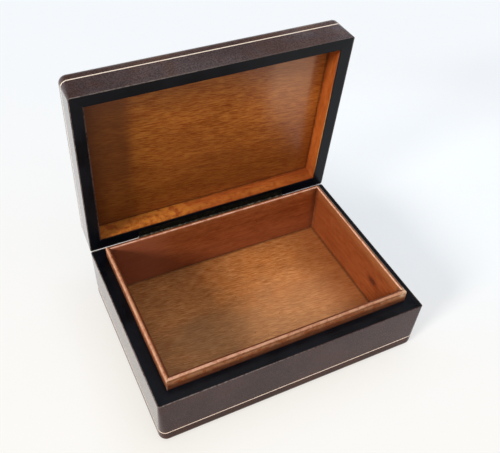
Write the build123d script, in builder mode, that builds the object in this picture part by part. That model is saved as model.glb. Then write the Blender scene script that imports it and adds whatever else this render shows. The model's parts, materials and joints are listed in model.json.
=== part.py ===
from build123d import *
import os

os.makedirs("parts", exist_ok=True)

# A leather-covered stationery box with a fitted cedar tray and a hinged lid, standing open.
# X runs along the length, the front is -Y and Z is up. The origin is the middle of the
# surface that the box stands on. Sizes are millimetres.

# ---- Outside of the box ----
box_length = 250.0            # left to right, over the leather
box_depth = 182.0             # front to back, over the leather
base_height = 55.3            # standing surface to the base rim
lid_height = 32.4             # lid rim to the top of the lid
rim_gap = 0.3                 # between the two rims when the lid is shut
rim_corner_radius = 2.0       # upright corners at the rims
crown_corner_radius = 8.0     # upright corners under the base and over the lid
edge_radius = 6.0             # long edges under the base and over the lid

# ---- Covering ----
leather_thickness = 0.9
felt_thickness = 1.2
felt_inset = 15.0             # outside of the box to the felt
felt_clearance = 0.3          # felt to the turned-in leather
felt_corner_radius = 3.0
line_width = 1.1              # gold line
line_depth = 0.4
base_line_height = 14.3       # standing surface to the middle of the line
lid_line_height = 21.3        # lid rim to the middle of the line

# ---- Wooden case ----
base_wall = 11.2
bottom_board_thickness = 8.6
floor_panel_thickness = 3.0
tray_wall = 4.1
tray_rise = 13.2              # tray top above the base rim
tray_top_round = 1.8
lid_recess = 17.7             # lid rim to the lining panel
lining_panel_thickness = 2.5
liner_thickness = 1.2
liner_lip = 1.2               # rail left standing below the liner
tray_clearance = 0.35         # lid to tray where they pass closest

# ---- Hinge ----
open_angle = 84.0             # lid against its stops
hinge_length = 154.0
hinge_offset = 0.1            # axis behind the back of the box
knuckle_count = 13            # odd, so that the base leaf has both ends
knuckle_gap = 0.3
barrel_radius = 2.0
barrel_clearance = 0.3        # barrel to the wood and leather
notch_clearance = 0.25        # barrel to the other leaf
leaf_thickness = 0.9
leaf_reach = 9.2              # back of the box to the leaf's front edge
leaf_clearance = 0.1
pin_radius = 0.8
pin_clearance = 0.04
pin_head_radius = 1.4
pin_head_thickness = 0.6
screws_per_leaf = 3
screw_end_margin = 7.0        # end of a leaf to its outer screws
screw_inset = 5.4             # back of the box to the screws
screw_head_radius = 1.8
screw_shank_radius = 1.0
screw_length = 8.0
screw_clearance = 0.05
slot_width = 0.45
slot_depth = 0.4
stop_radius = 3.6             # lugs that hold the lid open
stop_clearance = 0.2          # base lug over the lid knuckle
stop_sweep = 28.0             # degrees
stop_play = 0.8               # degrees
stop_root = 4.0               # length of a base lug on its own knuckle
stop_overlap = 4.0            # length of a base lug over the lid knuckle

# ---- Sizes that follow from these ----
hinge_y = box_depth / 2 + hinge_offset
hinge_rise = rim_gap / 2
knuckle_pitch = hinge_length / knuckle_count
screw_spacing = (hinge_length - 2 * screw_end_margin) / (screws_per_leaf - 1)
base_rim = leather_thickness + base_wall
tray_front_reach = hinge_y + box_depth / 2 - base_rim
swing_growth = (tray_front_reach ** 2 + tray_rise ** 2) ** 0.5 - tray_front_reach
lid_rail = base_wall - tray_clearance - swing_growth
tray_length = box_length - 2 * base_rim
tray_depth = box_depth - 2 * base_rim
wood_length = box_length - 2 * leather_thickness
wood_depth = box_depth - 2 * leather_thickness
lining_length = wood_length - 2 * (lid_rail - liner_thickness)
lining_depth = wood_depth - 2 * (lid_rail - liner_thickness)
felt_length = box_length - 2 * felt_inset
felt_depth = box_depth - 2 * felt_inset

# Both halves are drawn from their rims, with local z pointing out of the rim, x along the hinge
# and y towards it. The hinge axis then has the same place in both: (hinge_y, hinge_rise).
base_face = Plane.XY.offset(base_height)
open_hinge = Plane((0, hinge_y, base_height + hinge_rise)).rotated((-open_angle, 0, 0))
lid_face = Plane(
    origin=open_hinge.from_local_coords(Vector(0, -hinge_y, hinge_rise)),
    x_dir=-open_hinge.x_dir,
    z_dir=-open_hinge.z_dir,
)
base_turns = {"front": 0, "right": 90, "back": 180, "left": 270}
lid_turns = {"front": 0, "left": 90, "back": 180, "right": 270}
base_knuckles = range(0, knuckle_count, 2)
lid_knuckles = range(1, knuckle_count, 2)


def finish(builder, name):
    """Names a finished piece and writes it."""
    builder.part.label = name
    export_step(builder.part, f"parts/{name}.step")


def rounded_block(face, depth, inset):
    """The outline of a half drawn in by inset, down to depth below its rim. Its upright corners
    widen away from the rim and its far end is round."""
    length = box_length - 2 * inset
    breadth = box_depth - 2 * inset
    with BuildPart() as block:
        with BuildSketch(face):
            RectangleRounded(length, breadth, rim_corner_radius - inset)
        with BuildSketch(face.offset(-depth)):
            RectangleRounded(length, breadth, crown_corner_radius - inset)
        loft(ruled=True)
        far_end = block.faces().sort_by(Axis(face.origin, face.z_dir))[0]
        fillet(far_end.edges(), radius=edge_radius - inset)
    return block.part


def mitred_board(face, length, depth, thickness, bottom, top, turn):
    """One board of a mitred frame of that length and depth. Turn 0 is the side away from the hinge."""
    run, reach = (length, depth) if turn % 180 == 0 else (depth, length)
    with BuildPart() as board:
        with BuildSketch(Plane(face.offset(bottom).location * Rotation(0, 0, turn))):
            with BuildLine():
                Polyline(
                    (-run / 2, -reach / 2),
                    (run / 2, -reach / 2),
                    (run / 2 - thickness, -reach / 2 + thickness),
                    (-run / 2 + thickness, -reach / 2 + thickness),
                    close=True,
                )
            make_face()
        extrude(amount=top - bottom)
    return board.part


def panel(face, length, depth, bottom, top):
    """A flat board in the middle of a half."""
    with BuildPart() as board:
        with BuildSketch(face.offset(bottom)):
            Rectangle(length, depth)
        extrude(amount=top - bottom)
    return board.part


def line_ring(face, half_depth, height):
    """The gold line, a thin ring let into the leather of a half of that depth."""
    bottom = height - line_width / 2
    with BuildPart() as ring:
        add(panel(face, box_length + line_width, box_depth + line_width, bottom, bottom + line_width))
        add(rounded_block(face, half_depth, 0), mode=Mode.INTERSECT)
        add(rounded_block(face, half_depth - line_depth, line_depth), mode=Mode.SUBTRACT)
    return ring.part


def hinge_section(face):
    """A plane across the hinge at its middle: local x runs towards the hinge and y out of the rim."""
    return Plane(
        origin=face.from_local_coords(Vector(0, hinge_y, hinge_rise)),
        x_dir=face.y_dir,
        z_dir=face.x_dir,
    )


def screw_places():
    """Places of the screws on a rim."""
    return GridLocations(screw_spacing, 0, screws_per_leaf, 1)


def hinge_seat(face):
    """What a half loses to the hinge: a bed for the leaf, a cove for the barrel and screw holes."""
    bed_reach = leaf_reach + leaf_clearance
    with BuildPart() as seat:
        with BuildSketch(face.offset(-leaf_thickness)):
            with Locations((0, box_depth / 2 - bed_reach / 2)):
                Rectangle(hinge_length + 2 * leaf_clearance, bed_reach)
        extrude(amount=leaf_thickness)
        with BuildSketch(hinge_section(face)):
            Circle(barrel_radius + barrel_clearance)
        extrude(amount=hinge_length / 2 + pin_head_thickness + barrel_clearance, both=True)
        with BuildSketch(face.offset(-screw_length - screw_clearance)):
            with Locations((0, box_depth / 2 - screw_inset)):
                with screw_places():
                    Circle(screw_shank_radius + screw_clearance)
        extrude(amount=screw_length)
    return seat.part


def stop_lug(face, start, length, inner_radius):
    """A lug behind the barrel. Its upper side meets the other leaf's lug when the lid is open."""
    meeting_angle = -(open_angle + stop_play) / 2
    with BuildPart() as lug:
        with BuildSketch(hinge_section(face).offset(start)):
            with BuildLine():
                outer = CenterArc((0, 0), stop_radius, meeting_angle, -stop_sweep)
                inner = CenterArc((0, 0), inner_radius, meeting_angle, -stop_sweep)
                Line(inner @ 0, outer @ 0)
                Line(inner @ 1, outer @ 1)
            make_face()
        extrude(amount=length)
        mirror(about=Plane.YZ)
    return lug.part


def hinge_leaf(face, own_knuckles, other_knuckles):
    """One leaf with its knuckles, bored for the pin and countersunk for its screws."""
    section = hinge_section(face)
    root = (pin_radius + barrel_radius) / 2 - pin_clearance
    plate_width = leaf_reach + hinge_offset - root
    with BuildPart() as leaf:
        with BuildSketch(face.offset(-leaf_thickness)):
            with Locations((0, hinge_y - root - plate_width / 2)):
                Rectangle(hinge_length, plate_width)
        extrude(amount=leaf_thickness)
        for index in other_knuckles:
            with BuildSketch(section.offset(index * knuckle_pitch - hinge_length / 2 - knuckle_gap / 2)):
                Circle(barrel_radius + notch_clearance)
            extrude(amount=knuckle_pitch + knuckle_gap, mode=Mode.SUBTRACT)
        for index in own_knuckles:
            with BuildSketch(section.offset(index * knuckle_pitch - hinge_length / 2 + knuckle_gap / 2)):
                Circle(barrel_radius)
            extrude(amount=knuckle_pitch - knuckle_gap)
        with BuildSketch(section):
            Circle(pin_radius + pin_clearance)
        extrude(amount=hinge_length / 2, both=True, mode=Mode.SUBTRACT)
        with Locations(face):
            with Locations((0, box_depth / 2 - screw_inset)):
                with screw_places():
                    CounterSinkHole(
                        radius=screw_shank_radius + screw_clearance,
                        counter_sink_radius=screw_head_radius + screw_clearance,
                        depth=leaf_thickness,
                        counter_sink_angle=90,
                    )
    return leaf.part


def screw_set(face):
    """Slotted countersunk screws, flush with the leaf."""
    head_depth = screw_head_radius - screw_shank_radius
    with BuildPart() as screws:
        with BuildSketch(face):
            with Locations((0, box_depth / 2 - screw_inset)):
                with screw_places():
                    Circle(screw_head_radius)
        extrude(amount=-head_depth, taper=45)
        with BuildSketch(face.offset(-screw_length)):
            with Locations((0, box_depth / 2 - screw_inset)):
                with screw_places():
                    Circle(screw_shank_radius)
        extrude(amount=screw_length - head_depth / 2)
        with BuildSketch(face.offset(-slot_depth)):
            with Locations((0, box_depth / 2 - screw_inset)):
                with screw_places():
                    Rectangle(2 * screw_head_radius, slot_width, rotation=30)
        extrude(amount=slot_depth, mode=Mode.SUBTRACT)
    return screws.part


# ---- Base: the case ----
base_wood_depth = base_height - felt_thickness
base_leather_depth = base_wood_depth + leather_thickness
base_core = rounded_block(base_face, base_wood_depth, leather_thickness)
base_leather_block = rounded_block(base_face, base_leather_depth, 0)
base_wall_bottom = bottom_board_thickness - base_wood_depth
floor_top = base_wall_bottom + floor_panel_thickness
base_seat = hinge_seat(base_face)
base_line = line_ring(base_face, base_leather_depth, base_line_height - base_height)

with BuildPart() as base_bottom_board:
    add(panel(base_face, wood_length, wood_depth, -base_wood_depth, base_wall_bottom))
    add(base_core, mode=Mode.INTERSECT)
finish(base_bottom_board, "base_bottom_board")

for side, turn in base_turns.items():
    with BuildPart() as base_side_wall:
        add(mitred_board(base_face, wood_length, wood_depth, base_wall, base_wall_bottom, 0, turn))
        add(base_core, mode=Mode.INTERSECT)
        if side == "back":
            add(base_seat, mode=Mode.SUBTRACT)
    finish(base_side_wall, f"base_{side}_wall")

with BuildPart() as base_leather:
    add(base_leather_block)
    add(base_core, mode=Mode.SUBTRACT)
    window = felt_clearance * 2
    add(
        panel(base_face, felt_length + window, felt_depth + window, -base_leather_depth, -base_wood_depth),
        mode=Mode.SUBTRACT,
    )
    add(base_line, mode=Mode.SUBTRACT)
    add(base_seat, mode=Mode.SUBTRACT)
finish(base_leather, "base_leather")

with BuildPart() as base_gold_line:
    add(base_line)
finish(base_gold_line, "base_gold_line")

with BuildPart() as base_felt:
    with BuildSketch(Plane.XY):
        RectangleRounded(felt_length, felt_depth, felt_corner_radius)
    extrude(amount=felt_thickness)
finish(base_felt, "base_felt")

# ---- Base: the tray ----
for side, turn in base_turns.items():
    with BuildPart() as tray_side_wall:
        add(mitred_board(base_face, tray_length, tray_depth, tray_wall, base_wall_bottom, tray_rise, turn))
        long_way = Axis.X if turn % 180 == 0 else Axis.Y
        top_edges = tray_side_wall.edges().filter_by(long_way).group_by(Axis.Z)[-1]
        fillet(top_edges, radius=min(tray_top_round, tray_wall * 0.45))
    finish(tray_side_wall, f"tray_{side}_wall")

with BuildPart() as tray_floor_panel:
    floor_length = tray_length - 2 * tray_wall
    floor_depth = tray_depth - 2 * tray_wall
    add(panel(base_face, floor_length, floor_depth, base_wall_bottom, floor_top))
finish(tray_floor_panel, "tray_floor_panel")

# ---- Lid ----
lid_wood_depth = lid_height - leather_thickness
lid_core = rounded_block(lid_face, lid_wood_depth, leather_thickness)
lid_rail_bottom = -lid_recess - lining_panel_thickness
lid_seat = hinge_seat(lid_face)
lid_line = line_ring(lid_face, lid_height, -lid_line_height)

with BuildPart() as lid_top_board:
    add(panel(lid_face, wood_length, wood_depth, -lid_wood_depth, lid_rail_bottom))
    add(lid_core, mode=Mode.INTERSECT)
finish(lid_top_board, "lid_top_board")

for side, turn in lid_turns.items():
    liner = mitred_board(
        lid_face, lining_length, lining_depth, liner_thickness, lid_rail_bottom, -liner_lip, turn
    )
    with BuildPart() as lid_side_rail:
        add(mitred_board(lid_face, wood_length, wood_depth, lid_rail, lid_rail_bottom, 0, turn))
        add(lid_core, mode=Mode.INTERSECT)
        add(liner, mode=Mode.SUBTRACT)
        if side == "back":
            add(lid_seat, mode=Mode.SUBTRACT)
    finish(lid_side_rail, f"lid_{side}_rail")

    with BuildPart() as lid_side_liner:
        add(liner)
    finish(lid_side_liner, f"lid_{side}_liner")

with BuildPart() as lid_lining_panel:
    panel_length = lining_length - 2 * liner_thickness
    panel_depth = lining_depth - 2 * liner_thickness
    add(panel(lid_face, panel_length, panel_depth, lid_rail_bottom, -lid_recess))
finish(lid_lining_panel, "lid_lining_panel")

with BuildPart() as lid_leather:
    add(rounded_block(lid_face, lid_height, 0))
    add(lid_core, mode=Mode.SUBTRACT)
    add(lid_line, mode=Mode.SUBTRACT)
    add(lid_seat, mode=Mode.SUBTRACT)
finish(lid_leather, "lid_leather")

with BuildPart() as lid_gold_line:
    add(lid_line)
finish(lid_gold_line, "lid_gold_line")

# ---- Hinge ----
first_joint = knuckle_pitch - hinge_length / 2
bore_wall_middle = (pin_radius + barrel_radius) / 2
lug_start = first_joint - knuckle_gap / 2

with BuildPart() as hinge_base_leaf:
    add(hinge_leaf(base_face, base_knuckles, lid_knuckles))
    add(stop_lug(base_face, lug_start - stop_root, stop_root, bore_wall_middle))
    add(
        stop_lug(
            base_face,
            lug_start,
            stop_overlap + knuckle_gap,
            barrel_radius + stop_clearance,
        )
    )
finish(hinge_base_leaf, "hinge_base_leaf")

with BuildPart() as hinge_lid_leaf:
    add(hinge_leaf(lid_face, lid_knuckles, base_knuckles))
    add(stop_lug(lid_face, lug_start + knuckle_gap, stop_overlap, bore_wall_middle))
finish(hinge_lid_leaf, "hinge_lid_leaf")

with BuildPart() as hinge_pin:
    with BuildSketch(hinge_section(base_face)):
        Circle(pin_radius)
    extrude(amount=hinge_length / 2, both=True)
    for end in (1, -1):
        with BuildSketch(hinge_section(base_face).offset(end * hinge_length / 2)):
            Circle(pin_head_radius)
        extrude(amount=end * pin_head_thickness)
finish(hinge_pin, "hinge_pin")

with BuildPart() as hinge_base_screws:
    add(screw_set(base_face))
finish(hinge_base_screws, "hinge_base_screws")

with BuildPart() as hinge_lid_screws:
    add(screw_set(lid_face))
finish(hinge_lid_screws, "hinge_lid_screws")
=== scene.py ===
"""Dresses the leather-covered stationery box: materials, wear, painted light and shade, studio floor,
lights and camera.

Lengths are metres and colours are linear. Noise scales count features per metre, and a run says how
many times longer a pattern is along the grain than across it.
"""
import json
import math

import bpy
from mathutils import Matrix, Vector

# ---- Camera, without shift ----
CAMERA_PLACE = Vector((-0.198053, -0.367909, 0.525190))
CAMERA_TARGET = Vector((0.015544, 0.039868, 0.0800))
CAMERA_ROLL = math.radians(2.882)
LENS_MM = 49.35
SENSOR_MM = 36.0
NEAREST_SEEN = 0.01

# ---- Lights: `towards` points at the light, and its spread is in degrees ----
WINDOW = {"towards": (-0.845, -0.29, 0.45), "spread": 16, "strength": 3.1, "colour": (1.0, 0.965, 0.91)}
CEILING = {"towards": (0.05, -0.15, 0.98), "spread": 75, "strength": 1.35, "colour": (0.93, 0.97, 1.0)}

# ---- Room and white paper; only camera and mirror rays see the backdrop, glow and lifts ----
ROOM_LEVEL = 0.16
ROOM_COLOUR = (0.94, 0.97, 1.0)
BACKDROP_LEVEL = 1.10
BACKDROP_COLOUR = (0.95, 0.97, 1.0)
BACKDROP_FADE = (0.35, 0.60)
PAPER_HALF_WIDTH = 6.0
PAPER_GLOW = 1.05
PAPER_LIFT = 0.60
SHADOW_LIFT = 0.25
LID_SHADOW = ((0.33, 0.20, 0.0), 0.16, (0.65, 1.0, 1.0))
# Painted light colour on the paper: warm towards the window, cool away from it.
PAPER_WARM = (0.96, 0.935, 0.90)
PAPER_COOL = (0.89, 0.92, 0.955)
# Painted contact shade with warm bounce light beside the box's near sides.
PAPER_CONTACT_SHADE = (0.90, 0.855, 0.79)
# Painted cool tint where the box's shadow falls.
PAPER_SHADED = (0.925, 0.965, 1.0)
PAPER_SHADED_SPOT = ((0.25, 0.12, 0.0), 0.27)

# ---- Places on the box ----
RIM_HALF_GAP = 0.00015
BASE_LINE_DEPTH = 0.0410
LID_LINE_DEPTH = 0.0213
LINE_BLUR = 0.0003
RIM_HEIGHT = 0.0553
TRAY_TOP = 0.0685
TRAY_FLOOR = 0.0128
TRAY_HALF_LENGTH = 0.1088
TRAY_HALF_DEPTH = 0.0748
LID_HALF_LENGTH = 0.1138
LID_HALF_DEPTH = 0.0798
BOX_HALF_LENGTH = 0.1250
BOX_HALF_DEPTH = 0.0910
PAINT_DEPTH = 0.0190
PAINT_EDGE_BLUR = 0.0010
BARREL_RADIUS = 0.0020

# ---- Spans over which a mask sets in: down the lid to the hinge, and back to the tray's back wall ----
BY_HINGE = (0.060, 0.076)
BACK_WALL = (0.070, 0.0742)

# ---- Single marks: centre, radius and squeeze ----
NICK = ((-0.1250, -0.0248, 0.0094), 0.0016, (1.0, 1.0, 0.45))
CHIP = ((0.1100, -0.0770, 0.0670), 0.0070)
PIN_HOLE = ((0.0414, 0.0744, 0.0464), 0.0011)
SPECK = ((-0.0654, -0.0784, 0.0566), 0.0016, (0.6, 1.0, 1.0))
KNOT = ((0.1089, -0.0369, 0.0405), 0.0048, (1.0, 0.55, 1.0))
KNOT_RING = ((0.1089, -0.0369, 0.0405), 0.0080, (1.0, 0.55, 1.0))
# Painted reflection: a pale sheen patch on the tray floor.
FLOOR_SHEEN_SPOT = ((0.040, -0.030, TRAY_FLOOR), 0.085, (1.0, 1.1, 1.0))
FLOOR_SHADED = ((-0.058, 0.074, TRAY_FLOOR), 0.070, (0.8, 1.2, 1.0))
FLOOR_WARM = ((0.020, 0.035, TRAY_FLOOR), 0.070, (0.8, 1.2, 1.0))
FLOOR_GREYED = ((-0.046, -0.012, TRAY_FLOOR), 0.036, (0.8, 1.1, 1.0))

# ---- Grain: which axis it follows, and how that axis is turned ----
X_GRAIN = (0, (0.0, 0.0, 0.0))
FLOOR_GRAIN = (0, (0.0, 0.0, math.radians(-8)))
Y_GRAIN = (1, (0.0, 0.0, 0.0))
PANEL_GRAIN = (0, (math.radians(6), math.radians(7), 0.0))
LID_UP_GRAIN = (2, (math.radians(6), 0.0, 0.0))
LINE_RUN = 20.0
PATCH_RUN = 2.5
PORE_RUN = 9.0

# ---- Dark and light tone of each surface ----
TRAY_TONES = ((0.215, 0.046, 0.0105), (0.325, 0.078, 0.0195))
FLOOR_TONES = ((0.310, 0.114, 0.031), (0.510, 0.194, 0.054))
PANEL_TONES = ((0.300, 0.083, 0.0095), (0.475, 0.146, 0.020))
LINER_TONES = ((0.265, 0.054, 0.008), (0.42, 0.100, 0.017))
BOARD_TONES = ((0.36, 0.22, 0.115), (0.50, 0.33, 0.19))
PAINT_TONES = ((0.0014, 0.0018, 0.0032), (0.0030, 0.0040, 0.0070))
BARE_TONES = ((0.20, 0.115, 0.055), (0.34, 0.21, 0.115))
BASE_HIDE_TONES = ((0.031, 0.0108, 0.0108), (0.048, 0.0200, 0.0205))
# The lid's hide is painted lighter than the base's: painted light for the light its upturned face catches.
LID_HIDE_LIT_TONES = ((0.054, 0.0350, 0.0360), (0.082, 0.0600, 0.0620))
BASE_GILT_TONES = ((0.93, 0.70, 0.56), (0.99, 0.80, 0.68))
LID_GILT_TONES = ((1.0, 0.78, 0.62), (1.0, 0.88, 0.75))
HINGE_TONES = ((0.034, 0.030, 0.022), (0.62, 0.48, 0.30))
SCREW_TONES = ((0.060, 0.052, 0.038), (0.50, 0.40, 0.25))
FELT_TONES = ((0.014, 0.028, 0.018), (0.026, 0.045, 0.030))
FELT_NAP = (0.045, 0.065, 0.048)
SHADE_HUE = (1.0, 1.7, 2.7)

# ---- Tones of wear and dirt, and of painted shade, highlights, reflections and bounce light ----
HIDE_WEAR_AND_LIGHT = {
    "rust_tint": (1.12, 0.90, 0.70),
    "fleck": (0.085, 0.058, 0.054),
    # The pale cut edge: wear, and partly a painted highlight.
    "cut_edge_wear_and_highlight": (0.21, 0.17, 0.155),
    "scuff": (0.16, 0.12, 0.10),
    "nick": (0.004, 0.003, 0.003),
}
GILT_WORN = (0.25, 0.13, 0.08)
PAINT_RUBBED = (0.165, 0.092, 0.076)
TRAY_WEAR_AND_LIGHT = {
    # Paler tops: wear, and partly a painted highlight.
    "rubbed": (0.42, 0.185, 0.070),
    "outer_rubbed": (0.40, 0.195, 0.090),
    # Painted highlight on the inner arris and painted shade on the outer edge of the back and right walls.
    "far_arris_highlight": (0.80, 0.48, 0.36),
    "far_edge_shade": (0.050, 0.020, 0.012),
    # Painted shade on the crest, a painted highlight on the outer edge and a painted shade line under it,
    # on the front and left walls.
    "crest_shade": (0.085, 0.022, 0.008),
    "near_edge_highlight": (0.76, 0.42, 0.29),
    "under_edge_shade": (0.10, 0.035, 0.015),
    "streak": (0.55, 0.30, 0.17),
    "outer_foot": (0.050, 0.018, 0.010),
    "rim_seam": (0.020, 0.008, 0.005),
    "mitre": (0.05, 0.015, 0.006),
    # Pale outer corners: wear, and partly a painted highlight.
    "upright": (0.66, 0.38, 0.24),
    "chip": (0.66, 0.43, 0.27),
    # Dirt and painted shade along the floor and in the corners.
    "dirt_and_shade": (0.050, 0.014, 0.006),
    "far_right": (0.160, 0.036, 0.008),
    "far_left": (0.400, 0.120, 0.060),
    "low_back": (0.420, 0.130, 0.055),
    "knot_ring": (0.170, 0.030, 0.008),
    "knot": (0.045, 0.009, 0.005),
}
FLOOR_WEAR_AND_LIGHT = {
    # Painted light: an olive cast where less orange bounce light falls.
    "olive": (0.375, 0.205, 0.085),
    # Painted reflection: a pale sheen patch.
    "rubbed": (0.74, 0.380, 0.182),
    "shaded": (0.16, 0.055, 0.018),
    "warm": (0.66, 0.205, 0.040),
    "greyed": (0.255, 0.160, 0.080),
    # Painted bounce light: red-brown from the right wall.
    "right_wall_bounce": (0.26, 0.074, 0.019),
    # Dirt and painted shade by the walls.
    "dirt_and_shade": (0.075, 0.026, 0.010),
    "specks": (0.09, 0.035, 0.014),
}
PANEL_WEAR_AND_LIGHT = {
    # Painted shadow of the left rail.
    "strip": (0.135, 0.040, 0.009),
    # Painted shade towards the hinge.
    "low": (0.165, 0.038, 0.006),
    "top_edge": (0.165, 0.050, 0.010),
    # Painted reflection: a pale band on the right.
    "pale_reflection": (0.66, 0.31, 0.14),
    # Painted shade by the left rail.
    "left_edge": (0.07, 0.022, 0.006),
    # Dirt and painted shade along the liners.
    "dirt_and_shade": (0.050, 0.016, 0.005),
}
LINER_WEAR = {
    "seam": (0.110, 0.026, 0.005),
    "bright": (0.60, 0.225, 0.040),
    "dim_corner": (0.200, 0.038, 0.008),
    "pale_corner": (0.680, 0.250, 0.035),
    "lip": (0.150, 0.072, 0.062),
    "lower_right_lip": (0.58, 0.36, 0.14),
    "hinge_lip": (0.030, 0.009, 0.004),
}

# ---- Figure of a wood: scales and runs of its patterns, their shares, contrast and softness ----
FINE = {
    "patch": 30, "streak": 240, "dash": 330, "dash_run": 5.0, "fibre": 1100, "fibre_run": 11.0, "pore": 800,
    "patch_part": 0.7, "dash_part": 0.10, "shade": 0.36, "pore_part": 0.20, "soft": 0.22,
}
BROAD = {
    "patch": 34, "streak": 110, "dash": 260, "dash_run": 7.0, "fibre": 700, "fibre_run": 6.0, "pore": 900,
    "patch_part": 0.6, "dash_part": 0.4, "shade": 0.22, "pore_part": 0.35, "soft": 0.23,
}

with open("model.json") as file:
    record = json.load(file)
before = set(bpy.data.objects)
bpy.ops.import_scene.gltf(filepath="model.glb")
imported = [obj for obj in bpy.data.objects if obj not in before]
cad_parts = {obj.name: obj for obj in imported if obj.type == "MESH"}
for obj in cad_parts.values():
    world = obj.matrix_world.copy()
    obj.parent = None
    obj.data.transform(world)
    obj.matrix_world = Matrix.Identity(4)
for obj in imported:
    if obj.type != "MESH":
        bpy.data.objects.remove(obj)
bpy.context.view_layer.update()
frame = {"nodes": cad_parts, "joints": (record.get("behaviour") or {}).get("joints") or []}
nodes = frame["nodes"]
hinge = Vector(frame["joints"][0]["pos_m"])
open_angle = math.radians(-frame["joints"][0]["range_deg"][0])
ground = Vector((0, 0, 0))
rightward = Vector((1, 0, 0))
backward = Vector((0, 1, 0))
up = Vector((0, 0, 1))
lid_inward = Vector((0, math.sin(open_angle), math.cos(open_angle)))
lid_towards_hinge = Vector((0, math.cos(open_angle), -math.sin(open_angle)))
base_rim = hinge - RIM_HALF_GAP * up
lid_rim = hinge + RIM_HALF_GAP * lid_inward
lid_middle = lid_rim - hinge.y * lid_towards_hinge


class Nodes:
    """Short calls that add shader nodes to one tree."""

    def __init__(self, tree):
        self.tree = tree

    def add(self, kind):
        return self.tree.nodes.new("ShaderNode" + kind)

    def feed(self, socket, source):
        """Gives a socket its source: another socket, a number or a colour."""
        if isinstance(source, bpy.types.NodeSocket):
            self.tree.links.new(source, socket)
        elif socket.type == "RGBA" and isinstance(source, tuple):
            socket.default_value = (*source, 1)
        elif socket.type == "RGBA":
            socket.default_value = (source, source, source, 1)
        else:
            socket.default_value = source

    def calc(self, operation, first, second=0.0):
        node = self.add("Math")
        node.operation = operation
        self.feed(node.inputs[0], first)
        self.feed(node.inputs[1], second)
        return node.outputs[0]

    def product(self, *factors):
        result = factors[0]
        for factor in factors[1:]:
            result = self.calc("MULTIPLY", result, factor)
        return result

    def fade(self, value, low, high, start=0.0, end=1.0):
        """Maps low..high smoothly to start..end and holds the ends."""
        node = self.add("MapRange")
        node.interpolation_type = "SMOOTHSTEP"
        self.feed(node.inputs["Value"], value)
        node.inputs["From Min"].default_value = low
        node.inputs["From Max"].default_value = high
        node.inputs["To Min"].default_value = start
        node.inputs["To Max"].default_value = end
        return node.outputs["Result"]

    def between(self, mask, start, end):
        """Turns a mask of zero to one into one of start to end."""
        return self.fade(mask, 0.0, 1.0, start, end)

    def band(self, value, low, high, soft):
        """One between low and high, zero outside, with soft ends."""
        rise = self.fade(value, low - soft, low + soft)
        return self.product(rise, self.fade(value, high - soft, high + soft, 1.0, 0.0))

    def blend(self, amount, first, second, mode="MIX"):
        node = self.add("Mix")
        node.data_type = "RGBA"
        node.blend_type = mode
        self.feed(node.inputs[0], amount)
        self.feed(node.inputs[6], first)
        self.feed(node.inputs[7], second)
        return node.outputs[2]

    def tinted(self, colour, tint):
        return self.blend(1.0, colour, tint, "MULTIPLY")

    def mark(self, colour, tone, *masks):
        """Lays a tone over the colour, as strongly as the product of the masks and strengths."""
        return self.blend(self.product(*masks), colour, tone)

    def shader_mix(self, amount, first, second):
        node = self.add("MixShader")
        self.feed(node.inputs[0], amount)
        self.feed(node.inputs[1], first)
        self.feed(node.inputs[2], second)
        return node.outputs[0]


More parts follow.
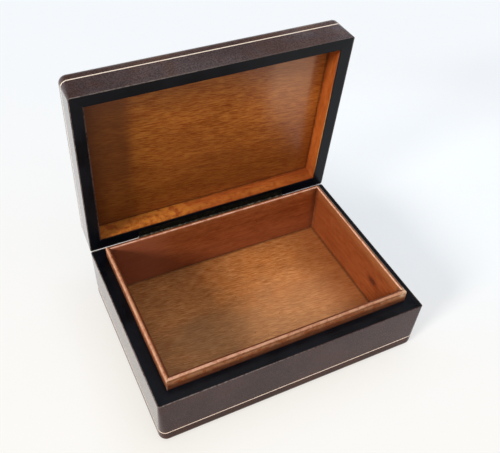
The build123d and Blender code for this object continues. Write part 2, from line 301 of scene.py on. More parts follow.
class Finish(Nodes):
    """A procedural material on one Principled surface; keywords set its sockets directly."""

    def __init__(self, name, **fixed):
        self.material = bpy.data.materials.new(name)
        self.material.use_nodes = True
        super().__init__(self.material.node_tree)
        self.surface = self.tree.nodes["Principled BSDF"]
        self.place = self.add("TexCoord").outputs["Object"]
        for socket, value in fixed.items():
            self.surface.inputs[socket.replace("_", " ")].default_value = value

    def paint(self, socket, source):
        self.feed(self.surface.inputs[socket], source)

    def vector(self, operation, first, second=(0.0, 0.0, 0.0)):
        node = self.add("VectorMath")
        node.operation = operation
        self.feed(node.inputs[0], first)
        self.feed(node.inputs[1], second)
        return node.outputs["Value" if operation in ("DOT_PRODUCT", "LENGTH") else "Vector"]

    def along(self, origin, direction):
        """How far the point lies from origin along direction."""
        reach = self.vector("DOT_PRODUCT", self.place, tuple(direction))
        return self.calc("SUBTRACT", reach, origin.dot(direction))

    def from_edge(self, origin, direction, half):
        """How far the point lies outside a strip of half-width `half`; negative inside it."""
        return self.calc("SUBTRACT", self.calc("ABSOLUTE", self.along(origin, direction)), half)

    def grained(self, grain, run):
        """The place, drawn out so that patterns come `run` times longer along the grain."""
        axis, turn = grain
        node = self.add("Mapping")
        node.vector_type = "TEXTURE"
        self.feed(node.inputs["Vector"], self.place)
        node.inputs["Rotation"].default_value = turn
        node.inputs["Scale"].default_value = tuple(run if i == axis else 1.0 for i in range(3))
        return node.outputs["Vector"]

    def noise(self, scale, where=None, detail=2.0, rough=0.5, warp=0.0):
        node = self.add("TexNoise")
        self.feed(node.inputs["Vector"], where or self.place)
        node.inputs["Scale"].default_value = scale
        node.inputs["Detail"].default_value = detail
        node.inputs["Roughness"].default_value = rough
        node.inputs["Distortion"].default_value = warp
        return node.outputs["Fac"]

    def cells(self, scale):
        node = self.add("TexVoronoi")
        node.feature = "SMOOTH_F1"
        self.feed(node.inputs["Vector"], self.place)
        node.inputs["Scale"].default_value = scale
        return node.outputs["Distance"]

    def spot(self, centre, radius, squeeze=(1.0, 1.0, 1.0)):
        """One at centre, fading to zero at radius; a squeeze below one lengthens it on that axis."""
        offset = self.vector("MULTIPLY", self.vector("SUBTRACT", self.place, centre), squeeze)
        return self.fade(self.vector("LENGTH", offset), radius * 0.4, radius, 1.0, 0.0)

    def patchy(self):
        """Broad patches, for wear and for breaking up painted highlights and shade."""
        return self.fade(self.noise(150, detail=3, rough=0.65), 0.35, 0.62)

    def grubby(self):
        """Smaller, rougher patches, for dirt and for breaking up painted highlights."""
        return self.fade(self.noise(210, detail=3, rough=0.7), 0.35, 0.60)

    def bump(self, height, distance, strength):
        node = self.add("Bump")
        node.inputs["Distance"].default_value = distance
        node.inputs["Strength"].default_value = strength
        self.feed(node.inputs["Height"], height)
        self.paint("Normal", node.outputs["Normal"])


def hide_colour(f, half, beyond, mottle):
    """Rusty clouds, painted light making the lid lighter and cooler towards its right end, the tint beyond
    the gold line, flecks and pebbles.
    """
    clouds = f.fade(f.noise(22, detail=3, rough=0.55), 0.35, 0.65)
    hide = f.blend(clouds, *half["tones"])
    rust = f.fade(f.noise(26, detail=3, rough=0.6, warp=0.5), 0.46, 0.62, 0.0, 0.7)
    hide = f.blend(rust, hide, f.tinted(hide, HIDE_WEAR_AND_LIGHT["rust_tint"]))
    # Painted light: the lid's hide grows lighter and cooler towards its right end.
    if "right_painted_light" in half:
        rightness = f.fade(f.along(ground, rightward), 0.0, 0.10)
        hide = f.blend(rightness, hide, f.tinted(hide, half["right_painted_light"]))
    colour = f.blend(beyond, hide, f.tinted(hide, half["outer_tint"]))
    colour = f.mark(colour, HIDE_WEAR_AND_LIGHT["fleck"], f.fade(mottle, 0.3, 0.75, 0.0, 0.20))
    return f.tinted(colour, f.fade(f.noise(900, detail=1), 0.38, 0.62, 0.74, 1.28))


def hide_wear(f, colour, depth, mottle):
    """The pale cut edge at the rim, worn and partly a painted highlight, most at the left, scuffs beside it
    and a nick in the left side.
    """
    leftward = f.fade(f.along(ground, rightward), -0.07, 0.05, 1.0, 0.25)
    # The pale cut edge: wear, and partly a painted highlight.
    colour = f.mark(colour, HIDE_WEAR_AND_LIGHT["cut_edge_wear_and_highlight"], f.fade(depth, 0.00005, 0.0003, 1.0, 0.0), leftward,
                    f.fade(mottle, 0.35, 0.6, 0.3, 1.0))
    scuff = f.fade(f.noise(130, detail=4, rough=0.7), 0.62, 0.70)
    colour = f.mark(colour, HIDE_WEAR_AND_LIGHT["scuff"], scuff, f.band(depth, 0.0, 0.0035, 0.001), 0.5)
    return f.mark(colour, HIDE_WEAR_AND_LIGHT["nick"], f.spot(*NICK))


def leather(name, half):
    """Dark brown glossy hide with a pebbled grain."""
    f = Finish(name, IOR=1.16, Coat_IOR=1.17, Coat_Roughness=0.06, Sheen_Weight=0.11, Sheen_Roughness=0.25,
               Sheen_Tint=(1.0, 0.93, 0.87, 1))
    depth = f.along(half["rim"], half["inward"])
    beyond = f.fade(depth, half["line_depth"] - LINE_BLUR, half["line_depth"] + LINE_BLUR)
    mottle = f.noise(420, detail=3, rough=0.6)
    f.paint("Base Color", hide_wear(f, hide_colour(f, half, beyond, mottle), depth, mottle))
    f.paint("Roughness", f.fade(mottle, 0.25, 0.75, 0.15, 0.25))
    if "outer_coat" in half:
        f.paint("Coat Weight", f.between(beyond, half["coat"], half["outer_coat"]))
    else:
        f.paint("Coat Weight", half["coat"])
    relief = f.calc("ADD", f.cells(1050), f.product(f.noise(2600, rough=0.6), 0.35))
    f.bump(relief, distance=0.00005, strength=0.20)
    return f.material


def gilt(name, tones, metallic):
    """Gold tooling: bright leaf, rubbed thin in places."""
    f = Finish(name, Metallic=metallic)
    rub = f.noise(420, detail=3, rough=0.65)
    leaf = f.blend(f.noise(60), *tones)
    f.paint("Base Color", f.mark(leaf, GILT_WORN, f.fade(rub, 0.62, 0.76, 0.0, 0.8)))
    f.paint("Roughness", f.fade(rub, 0.3, 0.7, 0.28, 0.5))
    f.bump(rub, distance=0.00003, strength=0.6)
    return f.material


def rubbed_edge(f, paint):
    """Brown wood that shows through the paint along the inner edge of the lid's left rail."""
    across = f.along(ground, rightward)
    edge = f.fade(across, -LID_HALF_LENGTH - 0.0014, -LID_HALF_LENGTH - 0.0002)
    left_only = f.fade(across, -0.10, -0.09, 1.0, 0.0)
    uneven = f.fade(f.noise(200, detail=3, rough=0.7), 0.38, 0.58, 0.10, 0.55)
    return f.mark(paint, PAINT_RUBBED, edge, left_only, uneven)


def black_paint(name, rim, inward, grain, ior, rubbed=False):
    """Satin black paint with a faint blue tint near the rim, and bare wood further in."""
    f = Finish(name, IOR=ior)
    depth = f.along(rim, inward)
    fibre = f.noise(900, f.grained(grain, LINE_RUN), detail=4, rough=0.6)
    cloud = f.noise(35, detail=3, rough=0.55)
    paint = f.blend(f.fade(cloud, 0.35, 0.65), *PAINT_TONES)
    if rubbed:
        paint = rubbed_edge(f, paint)
    bare = f.blend(fibre, *BARE_TONES)
    f.paint("Base Color", f.blend(f.fade(depth, PAINT_DEPTH, PAINT_DEPTH + PAINT_EDGE_BLUR), paint, bare))
    f.paint("Roughness", f.fade(f.calc("ADD", cloud, fibre), 0.7, 1.3, 0.26, 0.42))
    f.bump(fibre, distance=0.00003, strength=0.5)
    return f.material


def wood_tone(f, grain, tones, figure):
    """Broad patches and long streaks between the two tones."""
    patches = f.noise(figure["patch"], f.grained(grain, PATCH_RUN), detail=3, rough=0.6, warp=0.8)
    streaks = f.noise(figure["streak"], f.grained(grain, LINE_RUN), detail=4, rough=0.65, warp=0.3)
    share = figure["patch_part"]
    tone = f.calc("ADD", f.product(patches, share), f.product(streaks, 1 - share))
    return f.blend(f.fade(tone, 0.5 - figure["soft"], 0.5 + figure["soft"]), *tones)


def wood(name, grain, tones, figure, rough, coat, marks=None):
    """Waxed wood with patches, streaks, dashes, fibres and pores; `marks` adds stains, wear and painted
    light to the colour.
    """
    f = Finish(name, IOR=1.33, Coat_Weight=coat, Coat_Roughness=0.25, Coat_IOR=1.45)
    colour = wood_tone(f, grain, tones, figure)
    dashes = f.noise(figure["dash"], f.grained(grain, figure["dash_run"]), detail=3, rough=0.6, warp=0.3)
    fibre = f.noise(figure["fibre"], f.grained(grain, figure["fibre_run"]), detail=3, rough=0.7)
    pores = f.fade(f.noise(figure["pore"], f.grained(grain, PORE_RUN), detail=1), 0.60, 0.70)
    share = figure["dash_part"]
    weave = f.calc("ADD", f.product(dashes, share), f.product(fibre, 1 - share))
    dim = tuple(1 - figure["shade"] * hue for hue in SHADE_HUE)
    lit = tuple(1 + figure["shade"] * hue for hue in SHADE_HUE)
    colour = f.tinted(colour, f.blend(f.fade(weave, 0.34, 0.66), dim, lit))
    colour = f.mark(colour, tuple(v * 0.35 for v in tones[0]), pores, figure["pore_part"])
    if marks:
        colour = marks(f, colour)
    f.paint("Base Color", colour)
    f.paint("Roughness", f.fade(fibre, 0.25, 0.75, rough, rough + 0.12))
    f.bump(f.calc("SUBTRACT", weave, f.product(pores, 0.5)), distance=0.00005, strength=0.5)
    return f.material


class TrayPlace:
    """Where a point lies on the tray's walls: measures and masks that its marks share.

    `out` grows from 0 at the inner faces to 0.0041 at the outer ones. The top is rounded, with a flat
    strip from 0.0018 to 0.0023. `side` and `end` measure the same for each pair of walls.
    """

    def __init__(self, f):
        self.height = f.along(ground, up)
        self.x = f.along(ground, rightward)
        self.y = f.along(ground, backward)
        self.side = f.from_edge(ground, rightward, TRAY_HALF_LENGTH)
        self.end = f.from_edge(ground, backward, TRAY_HALF_DEPTH)
        self.out = f.calc("MAXIMUM", self.side, self.end)
        self.off_mitre = f.calc("ABSOLUTE", f.calc("SUBTRACT", self.side, self.end))
        self.patchy = f.patchy()
        self.grubby = f.grubby()
        self.top = f.fade(self.height, TRAY_TOP - 0.0025, TRAY_TOP - 0.0008)
        self.inside = f.fade(self.out, 0.0002, 0.0006, 1.0, 0.0)
        self.outer_face = f.fade(self.out, 0.0034, 0.0039)
        lengthways = f.fade(f.calc("SUBTRACT", self.end, self.side), -0.0001, 0.0001)
        crossways = f.calc("SUBTRACT", 1.0, lengthways)
        self.front = f.product(lengthways, f.fade(self.y, -0.030, -0.020, 1.0, 0.0))
        self.left = f.product(crossways, f.fade(self.x, -0.030, -0.020, 1.0, 0.0))
        self.near = f.calc("ADD", self.front, self.left)
        self.far = f.calc("SUBTRACT", 1.0, self.near)


def tray_rubbing(f, at, colour):
    """Paler wood near the top, worn and partly a painted highlight on the rounded tops, most on the right
    wall, and on the outside above the rim.
    """
    # Paler tops: wear, and partly a painted highlight.
    worn = f.product(f.fade(at.height, TRAY_TOP - 0.0080, TRAY_TOP - 0.0010), at.patchy, 0.32)
    worn_right = f.product(f.fade(at.height, TRAY_TOP - 0.0130, TRAY_TOP - 0.0010),
                           f.fade(at.x, 0.105, 0.108), 0.55)
    colour = f.mark(colour, TRAY_WEAR_AND_LIGHT["rubbed"], f.calc("MAXIMUM", worn, worn_right))
    return f.mark(colour, TRAY_WEAR_AND_LIGHT["outer_rubbed"], f.fade(at.out, 0.0019, 0.0026), at.grubby,
                  f.fade(at.height, 0.0560, 0.0640, 0.15, 0.60))


def tray_far_edges(f, at, colour):
    """The back and right walls: a painted highlight on the inner arris, broken up in patches, and a painted
    shade on the outer edge.
    """
    # Painted highlight on the inner arris.
    colour = f.mark(colour, TRAY_WEAR_AND_LIGHT["far_arris_highlight"], at.far, at.top, f.band(at.out, 0.0004, 0.0013, 0.0003),
                    f.between(at.patchy, 0.45, 0.90))
    # Painted shade on the outer edge.
    return f.mark(colour, TRAY_WEAR_AND_LIGHT["far_edge_shade"], at.far, f.fade(at.out, 0.0020, 0.0027), 0.80)


def tray_near_edges(f, at, colour):
    """Front and left walls: painted shade on the crest, a patchy painted highlight on the outer edge, and a
    painted shade line under the front's.
    """
    # Painted shade on the crest.
    colour = f.mark(colour, TRAY_WEAR_AND_LIGHT["crest_shade"], at.near, at.top, f.band(at.out, 0.0000, 0.0020, 0.0003),
                    f.between(at.patchy, 0.50, 0.85))
    beyond_top = f.fade(at.out, 0.0018, 0.0024)
    front_edge = f.product(at.front, beyond_top, f.fade(at.height, TRAY_TOP - 0.0013, TRAY_TOP - 0.0006),
                           f.between(at.grubby, 0.50, 0.90), f.fade(at.x, -0.09, 0.02, 0.75, 0.42))
    left_edge = f.product(at.left, beyond_top,
                          f.band(at.height, TRAY_TOP - 0.0036, TRAY_TOP - 0.0002, 0.0006),
                          f.between(at.grubby, 0.25, 0.48))
    # Painted highlight along the outer edge, broken up in patches.
    colour = f.mark(colour, TRAY_WEAR_AND_LIGHT["near_edge_highlight"], f.calc("MAXIMUM", front_edge, left_edge))
    # Painted shade line under the front wall's edge.
    return f.mark(colour, TRAY_WEAR_AND_LIGHT["under_edge_shade"], at.front,
                  f.band(at.height, TRAY_TOP - 0.0026, TRAY_TOP - 0.0016, 0.0004), 0.45)


def tray_outer_faces(f, at, colour):
    """A pale streak, a dark foot with a wavering edge, and the dark seam at the rim."""
    colour = f.mark(colour, TRAY_WEAR_AND_LIGHT["streak"], at.outer_face, f.band(at.height, 0.0635, 0.0650, 0.0006),
                    at.grubby, 0.30)
    waver = f.product(f.calc("SUBTRACT", f.noise(70), 0.5), 0.0040)
    foot = f.fade(f.calc("ADD", at.height, waver), 0.0600, 0.0622, 0.60, 0.0)
    colour = f.mark(colour, TRAY_WEAR_AND_LIGHT["outer_foot"], at.outer_face, foot)
    seam = f.fade(at.height, RIM_HEIGHT - 0.0001, RIM_HEIGHT + 0.0023, 0.75, 0.0)
    return f.mark(colour, TRAY_WEAR_AND_LIGHT["rim_seam"], at.outer_face, seam)


def tray_corners(f, at, colour):
    """Dark mitre lines on the tops, pale outer corners, worn and partly a painted highlight, and a chip at
    the front right.
    """
    colour = f.mark(colour, TRAY_WEAR_AND_LIGHT["mitre"], f.fade(at.off_mitre, 0.00015, 0.0004, 0.7, 0.0),
                    f.fade(at.out, 0.0030, 0.0036, 1.0, 0.0))
    # Pale outer corners: wear, and partly a painted highlight.
    colour = f.mark(colour, TRAY_WEAR_AND_LIGHT["upright"], f.fade(at.off_mitre, 0.0003, 0.0007, 0.6, 0.0),
                    f.fade(at.out, 0.0032, 0.0038), at.grubby)
    return f.mark(colour, TRAY_WEAR_AND_LIGHT["chip"], f.spot(*CHIP), at.grubby)


def tray_inside(f, at, colour):
    """Dirt and painted shade along the floor and in the corners, and broad changes of tone on the back and
    right walls.
    """
    foot = f.product(f.fade(at.height, TRAY_FLOOR, TRAY_FLOOR + 0.0026, 0.85, 0.0),
                     f.between(at.grubby, 0.5, 1.0))
    corner = f.product(f.fade(f.calc("MINIMUM", at.side, at.end), -0.0060, -0.0012, 0.0, 0.95), at.inside,
                       f.between(at.grubby, 0.55, 1.0))
    # Dirt and painted shade along the floor and in the corners.
    colour = f.mark(colour, TRAY_WEAR_AND_LIGHT["dirt_and_shade"], f.calc("MAXIMUM", foot, corner))
    colour = f.mark(colour, TRAY_WEAR_AND_LIGHT["far_right"], f.fade(at.x, 0.095, 0.108),
                    f.fade(at.y, -0.07, 0.04, 0.15, 0.50), at.inside)
    back_wall = f.fade(at.y, *BACK_WALL)
    colour = f.mark(colour, TRAY_WEAR_AND_LIGHT["far_left"], f.fade(at.x, -0.040, -0.075), back_wall, at.inside, 0.55)
    return f.mark(colour, TRAY_WEAR_AND_LIGHT["low_back"], back_wall, f.fade(at.height, 0.050, 0.022, 0.0, 0.22),
                  at.inside)


def tray_spots(f, at, colour):
    """A knot with its ring in the right wall, a pin-hole in the back wall and a speck on the front."""
    colour = f.mark(colour, TRAY_WEAR_AND_LIGHT["knot_ring"], f.spot(*KNOT_RING), 0.50)
    knot = f.product(f.spot(*KNOT), f.between(at.grubby, 0.35, 1.0), 0.8)
    specks = f.calc("MAXIMUM", f.spot(*PIN_HOLE), f.product(f.spot(*SPECK), 0.6))
    return f.mark(colour, TRAY_WEAR_AND_LIGHT["knot"], f.calc("MAXIMUM", knot, specks))


def tray_marks(f, colour):
    """Rubbed tops, painted highlights and shade on the edges, changes of tone, dirt and painted shade, a
    knot, a pin-hole and a speck.
    """
    at = TrayPlace(f)
    for layer in (tray_rubbing, tray_far_edges, tray_near_edges, tray_outer_faces, tray_corners,
                  tray_inside, tray_spots):
        colour = layer(f, at, colour)
    return colour


def floor_patches(f, colour):
    """A painted olive cast towards the near left, a painted pale reflection, painted shade at the back
    left, and warm and greyed patches.
    """
    # Painted light: an olive cast towards the near left, where less orange bounce light falls.
    across = f.along(ground, Vector((0.55, 0.83, 0)))
    colour = f.mark(colour, FLOOR_WEAR_AND_LIGHT["olive"], f.fade(across, -0.10, 0.07, 0.36, 0.0))
    # Painted reflection: a pale sheen patch on the floor.
    colour = f.mark(colour, FLOOR_WEAR_AND_LIGHT["rubbed"], f.spot(*FLOOR_SHEEN_SPOT), 0.27)
    colour = f.mark(colour, FLOOR_WEAR_AND_LIGHT["shaded"], f.spot(*FLOOR_SHADED), 0.18)
    cloudy = f.fade(f.noise(55), 0.35, 0.65, 0.2, 1.0)
    colour = f.mark(colour, FLOOR_WEAR_AND_LIGHT["warm"], f.spot(*FLOOR_WARM), cloudy, 0.20)
    return f.mark(colour, FLOOR_WEAR_AND_LIGHT["greyed"], f.spot(*FLOOR_GREYED), 0.24)


def floor_marks(f, colour):
    """Patches, painted red-brown bounce light along the right wall, dirt and painted shade by all the
    walls, and specks.
    """
    colour = floor_patches(f, colour)
    # Painted bounce light: red-brown along the right wall.
    right_wall_bounce = f.fade(f.along(ground, rightward), 0.052, 0.104, 0.0, 0.66)
    colour = f.mark(colour, FLOOR_WEAR_AND_LIGHT["right_wall_bounce"], right_wall_bounce)
    side = f.from_edge(ground, rightward, TRAY_HALF_LENGTH)
    end = f.from_edge(ground, backward, TRAY_HALF_DEPTH)
    # Dirt and painted shade by the walls.
    dirt_and_shade = f.fade(f.calc("MAXIMUM", side, end), -0.0030, -0.0003, 0.0, 0.65)
    colour = f.mark(colour, FLOOR_WEAR_AND_LIGHT["dirt_and_shade"], dirt_and_shade)
    return f.mark(colour, FLOOR_WEAR_AND_LIGHT["specks"], f.fade(f.noise(340, detail=2), 0.71, 0.76, 0.0, 0.5))


def panel_marks(f, colour):
    """Painted shadow of the left rail, painted shade towards the hinge and by the left edge, a painted pale
    reflection, dirt and painted shade along the liners.

    `down` grows from the lid's front edge to the hinge, and is 0 in the middle, as `across` is.
    """
    across = f.along(lid_middle, rightward)
    down = f.along(lid_middle, lid_towards_hinge)
    # Painted shadow of the left rail, with a wavering edge.
    waver = f.product(f.calc("SUBTRACT", f.noise(45), 0.5), 0.008)
    strip = f.fade(f.calc("ADD", across, waver), -0.082, -0.068, 0.70, 0.0)
    colour = f.mark(colour, PANEL_WEAR_AND_LIGHT["strip"], strip, f.fade(down, 0.0, 0.06, 1.0, 0.5))
    # Painted shade towards the hinge, where the tray's back wall blocks light.
    colour = f.mark(colour, PANEL_WEAR_AND_LIGHT["low"], f.fade(down, -0.025, 0.060, 0.0, 0.52),
                    f.fade(across, -0.080, -0.020, 0.65, 1.0))
    colour = f.mark(colour, PANEL_WEAR_AND_LIGHT["top_edge"], f.fade(down, -0.060, -0.030, 0.30, 0.0))
    # Painted reflection: a pale band on the right of the panel.
    colour = f.mark(colour, PANEL_WEAR_AND_LIGHT["pale_reflection"], f.fade(across, 0.048, 0.068),
                    f.fade(across, 0.098, 0.103, 1.0, 0.0), f.fade(down, -0.050, 0.030, 0.40, 0.0))
    # Painted shade by the left rail.
    colour = f.mark(colour, PANEL_WEAR_AND_LIGHT["left_edge"], f.fade(across, -0.112, -0.092, 0.35, 0.0))
    side = f.from_edge(lid_middle, rightward, LID_HALF_LENGTH)
    end = f.from_edge(lid_middle, lid_towards_hinge, LID_HALF_DEPTH)
    # Dirt and painted shade along the liners.
    dirt_and_shade = f.fade(f.calc("MAXIMUM", side, end), -0.0028, -0.0004, 0.0, 0.6)
    return f.mark(colour, PANEL_WEAR_AND_LIGHT["dirt_and_shade"], dirt_and_shade)


def liner_lip(f, across, down):
    """Tone of the lip: purplish, pale at the lower right and black by the hinge."""
    lower_right = f.product(f.fade(across, 0.100, 0.112), f.fade(down, -0.045, -0.015))
    lip = f.blend(lower_right, LINER_WEAR["lip"], LINER_WEAR["lower_right_lip"])
    return f.mark(lip, LINER_WEAR["hinge_lip"], f.fade(down, *BY_HINGE))


def liner_marks(f, colour):
    """Dirt along the lining panel, pale and dark stretches on the strip by the hinge, a worn lip."""
    depth = f.along(lid_rim, lid_inward)
    across = f.along(lid_middle, rightward)
    down = f.along(lid_middle, lid_towards_hinge)
    by_hinge = f.fade(down, *BY_HINGE)
    patchy = f.patchy()
    colour = f.mark(colour, LINER_WEAR["seam"], f.fade(depth, 0.0148, 0.0172),
                    f.between(patchy, 0.30, 0.75))
    colour = f.mark(colour, LINER_WEAR["bright"], f.band(depth, 0.0040, 0.0105, 0.0030), patchy,
                    f.fade(down, *BY_HINGE, 0.10, 0.45))
    colour = f.mark(colour, LINER_WEAR["dim_corner"], by_hinge, f.fade(across, 0.070, 0.105, 0.0, 0.55))
    colour = f.mark(colour, LINER_WEAR["pale_corner"], by_hinge,
                    f.fade(across, -0.040, -0.005, 0.60, 0.0), patchy)
    return f.mark(colour, liner_lip(f, across, down), f.fade(depth, 0.0013, 0.0024, 0.85, 0.0))


def brass(name, tones):
    """Brass gone nearly black, rubbed bright on the knuckles."""
    f = Finish(name, Metallic=0.85)
    stain = f.noise(260, detail=4, rough=0.65)
    fine = f.noise(1500, detail=3, rough=0.6)
    from_axis = f.vector("MULTIPLY", f.vector("SUBTRACT", f.place, tuple(hinge)), (0.0, 1.0, 1.0))
    knuckle = f.fade(f.vector("LENGTH", from_axis), BARREL_RADIUS, BARREL_RADIUS + 0.0004, 0.25, 0.06)
    f.paint("Base Color", f.blend(f.product(knuckle, f.fade(stain, 0.45, 0.70)), *tones))
    f.paint("Roughness", f.fade(fine, 0.3, 0.7, 0.30, 0.52))
    f.bump(fine, distance=0.00003, strength=0.5)
    return f.material


def felt(name):
    """Short dark green nap."""
    f = Finish(name, Sheen_Weight=0.4)
    nap = f.noise(3000, detail=3, rough=0.7)
    colour = f.blend(f.noise(60, detail=3, rough=0.6), *FELT_TONES)
    f.paint("Base Color", f.mark(colour, FELT_NAP, f.fade(nap, 0.3, 0.8, 0.0, 0.5)))
    f.paint("Roughness", f.fade(nap, 0.2, 0.8, 0.85, 1.0))
    f.bump(nap, distance=0.0002, strength=0.8)
    return f.material


def dress(material, *names):
    """Gives every slot of the named nodes the material."""
    for name in names:
        for slot in nodes[name].material_slots:
            slot.material = material


def dress_leather():
    base_half = {"rim": base_rim, "inward": -up, "line_depth": BASE_LINE_DEPTH, "tones": BASE_HIDE_TONES,
                 "outer_tint": (1.0, 0.68, 0.38), "coat": 0.93, "outer_coat": 0.35}
    # The lid's hide tones are painted lighter than the base's: painted light.
    lid_half = {"rim": lid_rim, "inward": lid_inward, "line_depth": LID_LINE_DEPTH, "tones": LID_HIDE_LIT_TONES,
                "outer_tint": (1.08, 0.95, 0.84), "coat": 1.0, "right_painted_light": (1.45, 1.62, 1.75)}
    dress(leather("leather_base", base_half), "base_leather")
    dress(leather("leather_lid", lid_half), "lid_leather")
    dress(gilt("gilt_base", BASE_GILT_TONES, metallic=0.35), "base_gold_line")
    dress(gilt("gilt_lid", LID_GILT_TONES, metallic=0.10), "lid_gold_line")


def dress_rims():
    """The fronts and backs shine a little more on the base, and a little less on the lid."""
    dress(black_paint("rim_base_x", base_rim, -up, X_GRAIN, ior=1.29), "base_front_wall", "base_back_wall")
    dress(black_paint("rim_base_y", base_rim, -up, Y_GRAIN, ior=1.27), "base_left_wall", "base_right_wall")
    dress(black_paint("rim_lid_x", lid_rim, lid_inward, X_GRAIN, ior=1.25),
          "lid_front_rail", "lid_back_rail")
    dress(black_paint("rim_lid_up", lid_rim, lid_inward, LID_UP_GRAIN, ior=1.27, rubbed=True),
          "lid_left_rail", "lid_right_rail")


def dress_woods():
    tray = {"tones": TRAY_TONES, "figure": BROAD, "rough": 0.42, "coat": 0.15, "marks": tray_marks}
    floor = {"tones": FLOOR_TONES, "figure": FINE, "rough": 0.42, "coat": 0.1, "marks": floor_marks}
    panel = {"tones": PANEL_TONES, "figure": FINE, "rough": 0.34, "coat": 0.5, "marks": panel_marks}
    liner = {"tones": LINER_TONES, "figure": BROAD, "rough": 0.36, "coat": 0.3, "marks": liner_marks}
    board = {"tones": BOARD_TONES, "figure": BROAD, "rough": 0.55, "coat": 0.0}
    dress(wood("tray_x", X_GRAIN, **tray), "tray_front_wall", "tray_back_wall")
    dress(wood("tray_y", Y_GRAIN, **tray), "tray_left_wall", "tray_right_wall")
    dress(wood("tray_floor", FLOOR_GRAIN, **floor), "tray_floor_panel")
    dress(wood("lid_panel", PANEL_GRAIN, **panel), "lid_lining_panel")
    dress(wood("liner_x", X_GRAIN, **liner), "lid_front_liner", "lid_back_liner")
    dress(wood("liner_up", LID_UP_GRAIN, **liner), "lid_left_liner", "lid_right_liner")
    dress(wood("carcass", X_GRAIN, **board), "base_bottom_board", "lid_top_board")


def make_materials():
    dress_leather()
    dress_rims()
    dress_woods()
    dress(brass("hinge_metal", HINGE_TONES), "hinge_base_leaf", "hinge_lid_leaf", "hinge_pin")
    dress(brass("screw_metal", SCREW_TONES), "hinge_base_screws", "hinge_lid_screws")
    dress(felt("felt_green"), "base_felt")


def paper_colour(f, out):
    """White, painted warm light at the near left and cool at the far right, painted warm contact shade
    beside the box and a painted cool tint in its shadow.
    """
    across = f.along(ground, Vector((0.6, 0.8, 0)))
    # Painted light colour: warm towards the window at the near left, cool at the far right.
    colour = f.blend(f.fade(across, -0.35, 0.55), PAPER_WARM, PAPER_COOL)
    # Painted contact shade with warm bounce light beside the box.
    colour = f.mark(colour, PAPER_CONTACT_SHADE, f.fade(out, 0.0, 0.06, 0.5, 0.0),
                    f.fade(across, -0.06, 0.04, 1.0, 0.0))
    # Painted cool tint where the box's shadow falls.
    return f.mark(colour, PAPER_SHADED, f.spot(*PAPER_SHADED_SPOT), 0.85)


def paper_lift(f, out):
    """How far camera and mirror rays see the paper lifted: more where the lid's shadow falls, not in
    the strip behind the box and, in mirrors, not close to the box except at its left."""
    past_left = f.along(Vector((-BOX_HALF_LENGTH, BOX_HALF_DEPTH, 0)), Vector((1, -0.161, 0)))
    past_right = f.along(Vector((BOX_HALF_LENGTH, BOX_HALF_DEPTH, 0)), Vector((1, -0.707, 0)))
    hidden = f.product(f.fade(past_left, 0.012, 0.050), f.fade(past_right, -0.010, -0.001, 1.0, 0.0),
                       f.band(f.along(ground, backward), 0.06, 0.26, 0.02))
    ray = f.add("LightPath")
    seen = f.product(ray.outputs["Is Camera Ray"], f.calc("SUBTRACT", 1.0, hidden))
    at_left = f.fade(f.along(ground, rightward), -BOX_HALF_LENGTH - 0.001, -BOX_HALF_LENGTH, 1.0, 0.0)
    at_left = f.product(at_left, f.fade(f.along(ground, backward), -0.04, 0.13, 1.0, 0.75))
    mirrored = f.product(ray.outputs["Is Glossy Ray"], f.calc("MAXIMUM", f.fade(out, 0.0, 0.03), at_left))
    lift = f.calc("ADD", f.product(f.spot(*LID_SHADOW), SHADOW_LIFT), PAPER_LIFT)
    return f.product(f.calc("MAXIMUM", seen, mirrored), lift)


def paper_finish():
    """Matt white paper that camera and mirror rays see partly glowing, so shadows on it look paler."""
    f = Finish("studio_paper", Roughness=0.9, Specular_IOR_Level=0.0)
    side = f.from_edge(ground, rightward, BOX_HALF_LENGTH)
    out = f.calc("MAXIMUM", side, f.from_edge(ground, backward, BOX_HALF_DEPTH))
    colour = paper_colour(f, out)
    f.paint("Base Color", colour)
    glow = f.add("Emission")
    f.feed(glow.inputs["Color"], colour)
    glow.inputs["Strength"].default_value = PAPER_GLOW
    lifted = f.shader_mix(paper_lift(f, out), f.surface.outputs[0], glow.outputs[0])
    f.feed(f.tree.nodes["Material Output"].inputs["Surface"], lifted)
    return f.material


def make_floor():
    """A wide pale sheet that carries the box's shadow."""
    half = PAPER_HALF_WIDTH
    corners = [(-half, -half, 0), (half, -half, 0), (half, half, 0), (-half, half, 0)]
    mesh = bpy.data.meshes.new("studio_floor")
    mesh.from_pydata(corners, [], [(0, 1, 2, 3)])
    mesh.materials.append(paper_finish())
    floor = bpy.data.objects.new("studio_floor", mesh)
    bpy.context.scene.collection.objects.link(floor)


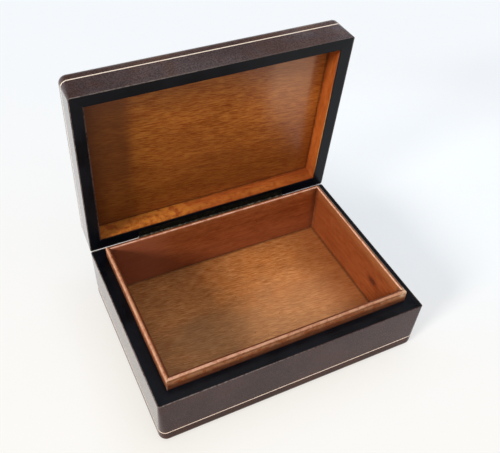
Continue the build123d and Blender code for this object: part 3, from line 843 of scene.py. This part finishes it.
def soft_light(name, towards, spread, strength, colour):
    """A broad even light that shines from the direction `towards` points at."""
    lamp = bpy.data.lights.new(name, "SUN")
    lamp.angle = math.radians(spread)
    lamp.energy = strength
    lamp.color = colour
    holder = bpy.data.objects.new(name, lamp)
    holder.rotation_euler = (-Vector(towards)).to_track_quat("-Z", "Y").to_euler()
    bpy.context.scene.collection.objects.link(holder)


def make_world():
    """Dim even room; camera and mirror rays also see the white paper that curves up round the table."""
    world = bpy.data.worlds.new("studio")
    bpy.context.scene.world = world
    world.use_nodes = True
    n = Nodes(world.node_tree)
    room = n.tree.nodes["Background"]
    n.feed(room.inputs["Color"], ROOM_COLOUR)
    room.inputs["Strength"].default_value = ROOM_LEVEL
    backdrop = n.add("Background")
    n.feed(backdrop.inputs["Color"], BACKDROP_COLOUR)
    backdrop.inputs["Strength"].default_value = BACKDROP_LEVEL
    split = n.add("SeparateXYZ")
    n.feed(split.inputs[0], n.add("TexCoord").outputs["Generated"])
    low = n.fade(split.outputs["Z"], *BACKDROP_FADE, 1.0, 0.0)
    ray = n.add("LightPath")
    seen = n.calc("MAXIMUM", ray.outputs["Is Camera Ray"], ray.outputs["Is Glossy Ray"])
    both = n.shader_mix(n.product(low, seen), room.outputs[0], backdrop.outputs[0])
    n.feed(n.tree.nodes["World Output"].inputs["Surface"], both)


def make_lights():
    soft_light("window_left", **WINDOW)
    soft_light("ceiling", **CEILING)
    make_world()


def make_camera():
    lens = bpy.data.cameras.new("camera")
    lens.lens = LENS_MM
    lens.sensor_width = SENSOR_MM
    lens.clip_start = NEAREST_SEEN
    camera = bpy.data.objects.new("camera", lens)
    aim = (CAMERA_TARGET - CAMERA_PLACE).to_track_quat("-Z", "Y").to_matrix().to_4x4()
    camera.matrix_world = Matrix.Translation(CAMERA_PLACE) @ aim @ Matrix.Rotation(CAMERA_ROLL, 4, "Z")
    bpy.context.scene.collection.objects.link(camera)
    bpy.context.scene.camera = camera


make_camera()
make_floor()
make_lights()
make_materials()
bpy.context.scene.view_settings.view_transform = "Standard"
